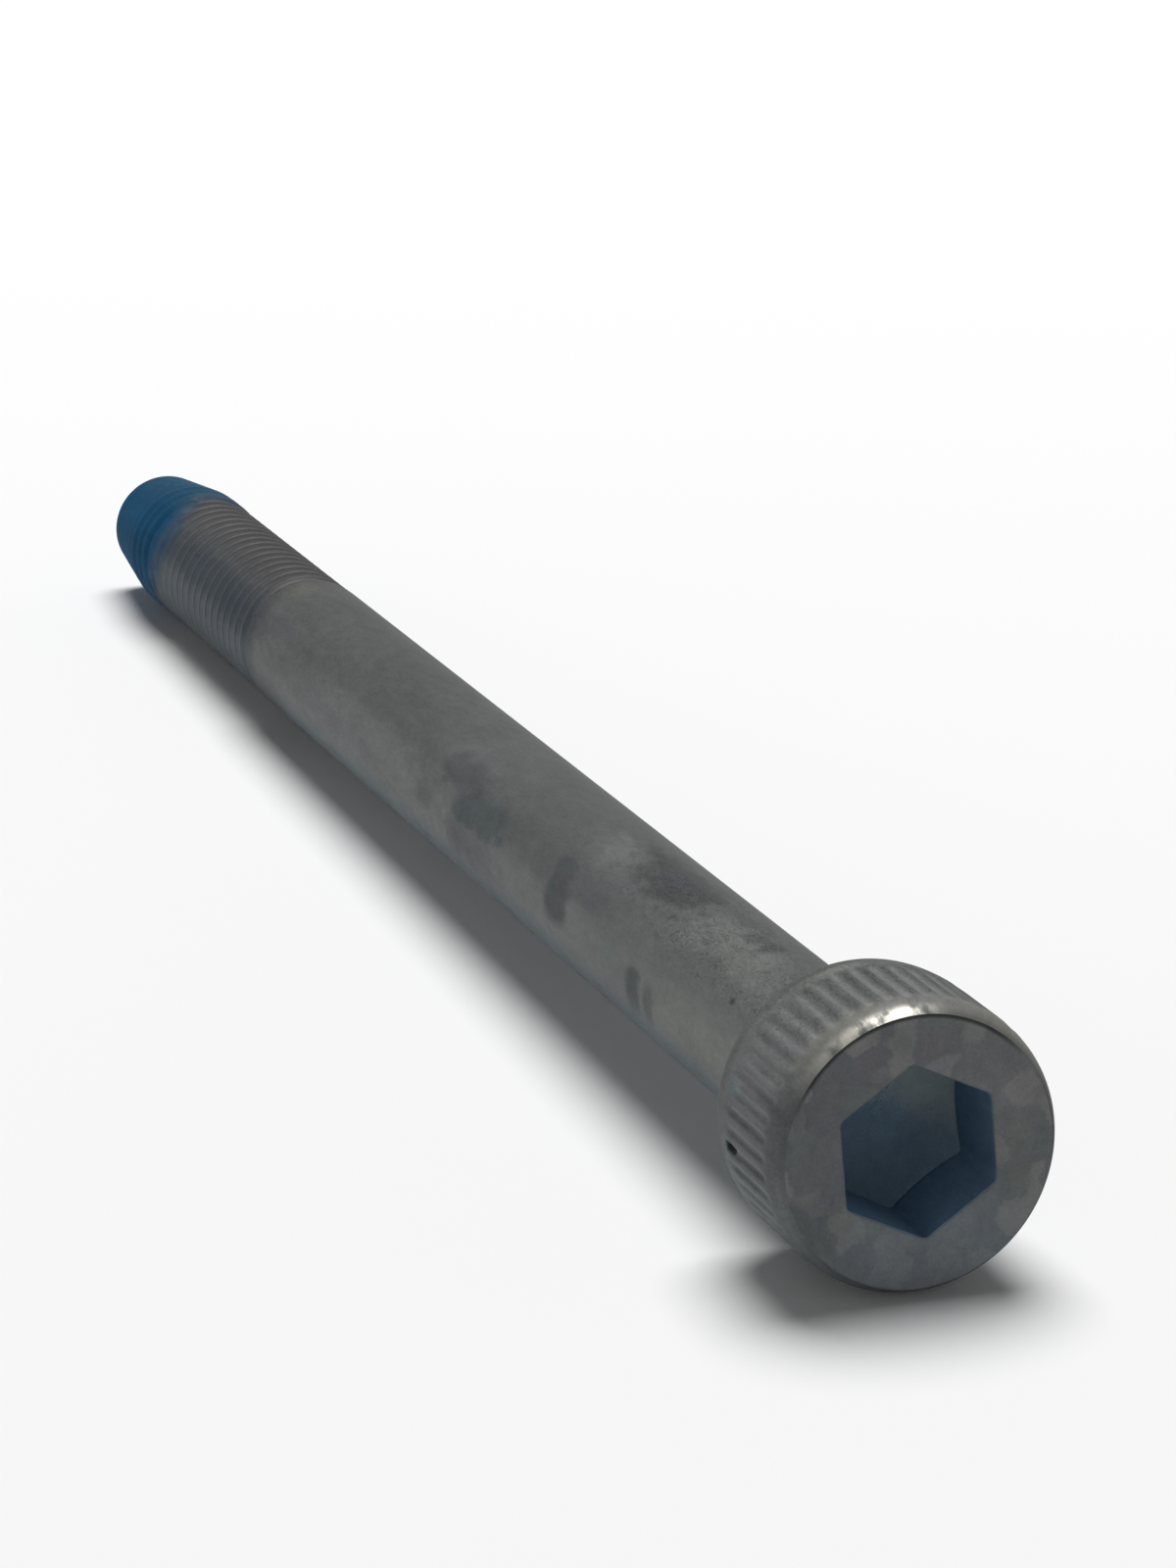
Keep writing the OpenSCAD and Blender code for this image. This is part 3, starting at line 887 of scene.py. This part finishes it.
def face_tone(nodes, where):
    """The flat top: plain patches of several greys, with soft borders, and painted light that makes it
    paler at the bottom.
    """
    spread = nodes.add("ShaderNodeTexNoise", {
        "Vector": where.place, "Scale": FACE_BEND_SCALE, "Detail": 5.0, "Roughness": 0.6})
    bent = nodes.add("ShaderNodeVectorMath", {
        0: where.place, 1: spread.outputs["Color"]}, operation="ADD").outputs[0]
    cells = nodes.add("ShaderNodeTexVoronoi", {
        "Vector": bent, "Scale": 1.0, "Smoothness": FACE_PATCH_BLUR}, feature="SMOOTH_F1")
    patch = nodes.add("ShaderNodeSeparateColor", {"Color": cells.outputs["Color"]}).outputs
    tone = nodes.blend(nodes.step(patch["Red"], *MAUVE_PATCHES), FACE_COOL, FACE_MAUVE)
    tone = nodes.blend(nodes.step(patch["Green"], *GREEN_PATCHES), tone, FACE_GREEN)
    tone = nodes.blend(nodes.step(patch["Blue"], *LIGHT_PATCHES), tone, FACE_LIGHT)
    right = nodes.product(
        nodes.step(where.round, *FACE_RIGHT), nodes.step(where.round, *FACE_RIGHT_END),
        FACE_RIGHT_SHARE)
    tone = nodes.blend(right, tone, FACE_LIGHT)
    low = nodes.step(nodes.math("ABSOLUTE", where.round), *FACE_BOTTOM)
    return nodes.blend(nodes.product(low, FACE_BOTTOM_SHARE), tone, FACE_LOW_PAINTED_LIGHT)


def with_face(nodes, where, tone):
    """The flat top, and the fine dark line of painted shade over it, where it meets the rim."""
    on_face = nodes.product(
        nodes.step(where.along, *FACE_LEVEL), nodes.step(where.reach, *FACE_EDGE))
    tone = nodes.blend(on_face, tone, face_tone(nodes, where))
    off_top = nodes.math("ABSOLUTE", nodes.math("ADD", where.round, LINE_OFF_TOP))
    on_painted_shade_line = nodes.product(
        nodes.step(where.reach, *LINE_INSIDE), nodes.step(where.reach, *LINE_OUTSIDE),
        nodes.step(where.along, *LINE_LEVEL),
        nodes.between(nodes.step(off_top, *LINE_ENDS), 0.0, LINE_SHARE))
    return nodes.blend(on_painted_shade_line, tone, FACE_EDGE_PAINTED_SHADE)


def coat_mask(nodes, where):
    """1 under the locking coat, whose edge sags to both sides of its middle and wavers a little."""
    off_middle = nodes.math("SUBTRACT", where.round, COAT_MIDDLE_TURN)
    droop = nodes.product(nodes.product(off_middle, off_middle), COAT_DROOP)
    droop = nodes.math("MINIMUM", droop, MOST_DROOP)
    cloud = nodes.math("SUBTRACT", nodes.noise(where.place, COAT_WAVER_SIZE), 0.5)
    waver = nodes.product(cloud, COAT_WAVER)
    past_start = nodes.math("SUBTRACT", nodes.math("ADD", where.along, waver), droop)
    return nodes.step(past_start, COAT_START - COAT_BLUR, COAT_START + COAT_BLUR)


def with_coat(nodes, where, tone, coated):
    """The blue of the locking coat, with painted light on its upper side and painted shade deeper on its
    lower side.
    """
    blue = nodes.blend(nodes.step(where.round, *COAT_BRIGHT_SIDE), COAT_DEEP_PAINTED_SHADE, COAT_BLUE_PAINTED_LIGHT)
    return nodes.blend(coated, tone, blue)


def with_socket(nodes, where, tone):
    """The socket's bluish walls, and its floor with the slopes round it, greyer at the top. The blue is
    partly its own tint and partly painted shade, and painted light makes the low wall and the floor
    towards the top paler.
    """
    inside = nodes.product(
        nodes.step(where.reach, *SOCKET_MOUTH), nodes.step(where.along, *SOCKET_BOTTOM),
        nodes.step(where.along, *SOCKET_TOP))
    rise = nodes.math("DIVIDE", nodes.math("SUBTRACT", SOCKET_DEPTH, where.along), SOCKET_SLOPE_H)
    slope_reach = nodes.between(rise, SOCKET_FLOOR_D / 2, SOCKET_CORNERS / 2)
    off_slope = nodes.math("SUBTRACT", slope_reach, where.reach)
    on_slope = nodes.product(
        nodes.step(off_slope, *SLOPE_EDGE), nodes.step(where.along, *SLOPE_TOP))
    on_floor = nodes.math("MAXIMUM", on_slope, nodes.step(where.along, *SOCKET_FLAT_FLOOR))
    low_wall = nodes.step(nodes.math("ABSOLUTE", where.round), *LOW_WALL)
    walls = nodes.blend(low_wall, SOCKET_WALL_TINT_AND_SHADE, SOCKET_WALL_LOW_PAINTED_LIGHT)
    off_high = nodes.math("ABSOLUTE", nodes.math("SUBTRACT", where.round, HIGH_FLOOR_TURN))
    high = nodes.product(
        nodes.step(off_high, *HIGH_FLOOR_SIDE), nodes.step(where.reach, *HIGH_FLOOR_REACH))
    floor_tone = nodes.blend(high, SOCKET_FLOOR_TINT_AND_SHADE, SOCKET_FLOOR_HIGH_PAINTED_LIGHT)
    return nodes.blend(inside, tone, nodes.blend(on_floor, walls, floor_tone))


def pitches_round(nodes, where, pitch):
    """How many pitches, in degrees, a point lies from the lowest line of the screw."""
    return nodes.math("DIVIDE", nodes.math("ADD", where.round, 180 - SOCKET_TURN), pitch)


def knurl_painted_light(nodes, where):
    """Painted light and shade in the flutes and on their crests, and on the flutes' walls, one painted
    lighter and the other darker. It keeps the knurl clear on the head's shoulder and lets it fade over
    the top and down the side, a little differently at each flute."""
    fade = 2 * FLUTE_END
    knurled = nodes.product(
        nodes.step(where.along, KNURL_LOW, KNURL_LOW + fade),
        nodes.step(where.along, KNURL_HIGH, KNURL_HIGH - fade),
        nodes.step(where.reach, *HEAD_SKIN))
    in_flute = nodes.product(knurled, nodes.step(where.reach, *IN_FLUTE))
    on_crest = nodes.product(knurled, nodes.step(where.reach, *ON_CREST))
    on_side = nodes.step(where.round, *KNURL_SIDE)
    on_top = nodes.step(where.round, *KNURL_UPPER)

    by_flute = nodes.add("ShaderNodeCombineXYZ", {
        "X": nodes.math("DIVIDE", where.round, 360 / FLUTES),
        "Y": nodes.math("DIVIDE", where.along, FLUTE_CLOUD_LENGTH)})
    cloud = nodes.noise(by_flute.outputs[0], FLUTE_CLOUD, detail=1.0)
    uneven = nodes.between(cloud, -FLUTE_UNEVENNESS, FLUTE_UNEVENNESS)
    shoulder, top, side = FLUTE_LIFTS
    fading = nodes.between(on_side, nodes.between(on_top, shoulder, top), side)
    flute_lift = nodes.product(in_flute, nodes.math("SUBTRACT", fading, uneven))
    across = nodes.math("WRAP", pitches_round(nodes, where, 360 / FLUTES), 0.5, -0.5)
    upright = nodes.math(
        "MULTIPLY_ADD", nodes.step(where.round, *KNURL_FAR), FAR_WALL_SHARE, on_side)
    wall_lift = nodes.product(across, WALL_LIFT, upright)
    flute_lift = nodes.math("MULTIPLY_ADD", in_flute, wall_lift, flute_lift)

    shoulder, top, side = RIDGE_LIFTS
    fading = nodes.between(on_side, nodes.between(on_top, shoulder, top), side)
    return flute_lift, nodes.product(on_crest, nodes.math("ADD", fading, uneven))


def thread_painted_light(nodes, where, coated):
    """Painted light on the bare thread's flank towards the head, and painted shade on its crests, which
    keeps its ridges faint from the head's end.
    """
    from_start = nodes.math("SUBTRACT", where.along, HEAD_H + THREAD_START)
    turns = pitches_round(nodes, where, 360 / PITCH)
    phase = nodes.math("WRAP", nodes.math("SUBTRACT", from_start, turns), PITCH / 2, -PITCH / 2)
    head_flank = nodes.product(
        nodes.step(phase, *HEAD_FLANK), nodes.step(phase, *HEAD_FLANK_START))
    deep = nodes.step(where.reach, *FLANK_DEEP)
    flank_lift = nodes.product(head_flank, nodes.between(deep, *FLANK_LIFTS))
    on_crest = nodes.step(where.reach, *THREAD_CREST)
    lift = nodes.math("MULTIPLY_ADD", on_crest, CREST_LIFT, flank_lift)
    bare = nodes.product(nodes.step(where.along, *BARE_THREAD), nodes.math("SUBTRACT", 1, coated))
    return nodes.product(lift, bare)


def brightness(nodes, where, mottle, coated):
    """The mottled coat's brightness round 1, with fine curled lines on top of the screw near its head,
    and all the lifts, which are painted light and shade on the thread, the knurl, the head's side, its
    back edge and the far top of the shank."""
    head_side = nodes.product(
        nodes.step(where.along, *HEAD_END), nodes.step(where.along, *HEAD_START),
        nodes.step(where.reach, *HEAD_SKIN))
    past_crinkles = nodes.step(where.along, *OUT_OF_CRINKLES)
    unevenness = nodes.between(past_crinkles, NEAR_UNEVENNESS, FAR_UNEVENNESS)
    unevenness = nodes.between(head_side, unevenness, HEAD_UNEVENNESS)
    level = nodes.math("MULTIPLY_ADD", mottle["Tone"], unevenness, 1)

    near_head = nodes.product(
        nodes.step(where.along, *CRINKLE_END), nodes.step(where.along, *CRINKLE_START))
    off_top = nodes.math("ABSOLUTE", nodes.math("ADD", where.round, CRINKLE_OFF_TOP))
    crinkled = nodes.product(near_head, nodes.step(off_top, *CRINKLE_SIDES))
    crinkle = nodes.product(mottle["Crinkle"], crinkled)
    level = nodes.math("MULTIPLY_ADD", crinkle, CRINKLE_SHARE, level)

    back_edge = nodes.product(
        nodes.step(where.along, *BACK_EDGE), nodes.step(where.reach, *BACK_REACH))
    far_top = nodes.product(
        nodes.step(where.along, *FAR_SHANK), nodes.step(where.round, *FAR_UPPER_SIDE))
    # The lifts are painted light and shade
    lifts = [
        thread_painted_light(nodes, where, coated), *knurl_painted_light(nodes, where),
        nodes.between(head_side, 0.0, HEAD_SIDE_PAINTED_LIGHT), nodes.product(back_edge, BACK_EDGE_PAINTED_SHADE),
        nodes.product(far_top, FAR_TOP_PAINTED_SHADE)]
    for lift in lifts:
        level = nodes.math("ADD", level, lift)
    return level


def rubbed_rim_and_highlight(nodes, where):
    """1 where the rim is rubbed bright, in patches over its upper side; its pale colour there is also a
    painted highlight.
    """
    on_rim = nodes.product(
        nodes.step(where.along, *RIM_HEIGHT), nodes.step(where.reach, *RIM_REACH))
    rubbed_side = nodes.product(
        nodes.step(where.round, *RUBBED_START), nodes.step(where.round, *RUBBED_END))
    patchy = nodes.step(nodes.noise(where.place, RUB_SIZE, detail=4.0), *RUB_PATCHES)
    return nodes.product(on_rim, rubbed_side, patchy)


def coat_grain(nodes, where):
    """The coat's fine grain and shallow dimples, as a normal."""
    grain = nodes.noise(where.place, GRAIN_SIZE, detail=3.0)
    dimples = nodes.noise(where.place, DIMPLE_SIZE, detail=3.0)
    height = nodes.math("MULTIPLY_ADD", dimples, DIMPLE_SHARE, grain)
    bump = nodes.add("ShaderNodeBump", {
        "Strength": BUMP_STRENGTH, "Distance": BUMP_DISTANCE, "Height": height})
    return bump.outputs["Normal"]


def zinc_flake():
    """Matte zinc flake coat, mottled and marked, with painted light and shade, and the blue locking coat
    over the point.
    """
    material = bpy.data.materials.new("zinc flake and locking coat")
    material.use_nodes = True
    nodes = Nodes(material.node_tree)
    where = Where(*nodes.group(place_on_screw_group(), {}))
    mottle = nodes.group(mottle_group(), {"Place": where.place})
    coated = coat_mask(nodes, where)

    tone = bare_tone(nodes, where, mottle["Tint"])
    tone = with_marks(nodes, where, tone)
    tone = with_painted_underside_reflection(nodes, where, tone)
    tone = with_face(nodes, where, tone)
    tone = with_coat(nodes, where, tone, coated)
    tone = with_socket(nodes, where, tone)
    shade = nodes.add("ShaderNodeHueSaturation", {
        "Value": brightness(nodes, where, mottle, coated), "Color": tone})

    # The rubbed rim is worn metal, and its pale colour is also a painted highlight
    rubbed = rubbed_rim_and_highlight(nodes, where)
    colour = nodes.blend(nodes.product(rubbed, RUB_SHARE), shade.outputs["Color"], RIM_WORN_AND_HIGHLIGHT)
    roughness = nodes.between(rubbed, ZINC_ROUGHNESS, WORN_ROUGHNESS)
    roughness = nodes.between(coated, roughness, COAT_ROUGHNESS)
    metallic = nodes.between(rubbed, ZINC_METALLIC, WORN_METALLIC)
    metallic = nodes.product(metallic, nodes.math("SUBTRACT", 1, coated))
    nodes.feed(material.node_tree.nodes["Principled BSDF"], {
        "Base Color": colour, "Roughness": roughness, "Metallic": metallic,
        "Normal": coat_grain(nodes, where), "Specular IOR Level": SPECULAR_LEVEL,
        "Specular Tint": SPECULAR_TINT})
    return material


def floor():
    """The pale ground that the screw lies on."""
    start_new()
    bpy.ops.mesh.primitive_plane_add(size=FLOOR_SIZE, location=(0, 0, CAD_BOX[0].z))
    ground = bpy.context.object
    ground.name = "floor"
    material = bpy.data.materials.new("pale floor")
    material.use_nodes = True
    nodes = Nodes(material.node_tree)
    diffuse = nodes.add("ShaderNodeBsdfDiffuse", {"Color": FLOOR_COLOUR})
    nodes.feed(material.node_tree.nodes["Material Output"], {"Surface": diffuse.outputs[0]})
    ground.data.materials.append(material)


def lights():
    """A softbox above, and an even fill from all round that is brighter near the horizon. Rays that
    show the background see it pale, and give the screw no light."""
    start_new()
    towards = Vector(SOFTBOX_DIRECTION).normalized()
    turn = (-towards).to_track_quat("-Z", "Y").to_euler()
    bpy.ops.object.light_add(type="AREA", location=towards * SOFTBOX_DISTANCE, rotation=turn)
    box = bpy.context.object
    box.name = "overhead softbox"
    box.data.shape = "DISK"
    box.data.size = SOFTBOX_WIDTH
    box.data.energy = SOFTBOX_POWER
    world = bpy.data.worlds.new("pale room")
    bpy.context.scene.world = world
    world.use_nodes = True
    nodes = Nodes(world.node_tree)
    direction = nodes.add("ShaderNodeTexCoord").outputs["Generated"]
    rise = nodes.add("ShaderNodeSeparateXYZ", {0: direction}).outputs["Z"]
    flatness = nodes.math("SUBTRACT", 1, nodes.math("ABSOLUTE", rise))
    near_horizon = nodes.math("POWER", flatness, HORIZON_SPREAD)
    fill = nodes.between(near_horizon, ZENITH_LEVEL, HORIZON_LEVEL)
    ray = nodes.add("ShaderNodeLightPath").outputs
    seen = nodes.math("MAXIMUM", ray["Is Camera Ray"], ray["Is Glossy Ray"])
    seen = nodes.math("MAXIMUM", seen, ray["Is Transmission Ray"])
    level = nodes.between(seen, fill, BACKGROUND_LEVEL)
    background = world.node_tree.nodes["Background"]
    nodes.feed(background, {"Color": (1, 1, 1, 1), "Strength": level})
    bpy.context.scene.view_settings.view_transform = "Standard"


camera()
screw = whole_screw()
lay_down(screw)
screw.data.materials.clear()
screw.data.materials.append(zinc_flake())
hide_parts("cap_screw")
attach(screw, "root")
floor()
lights()
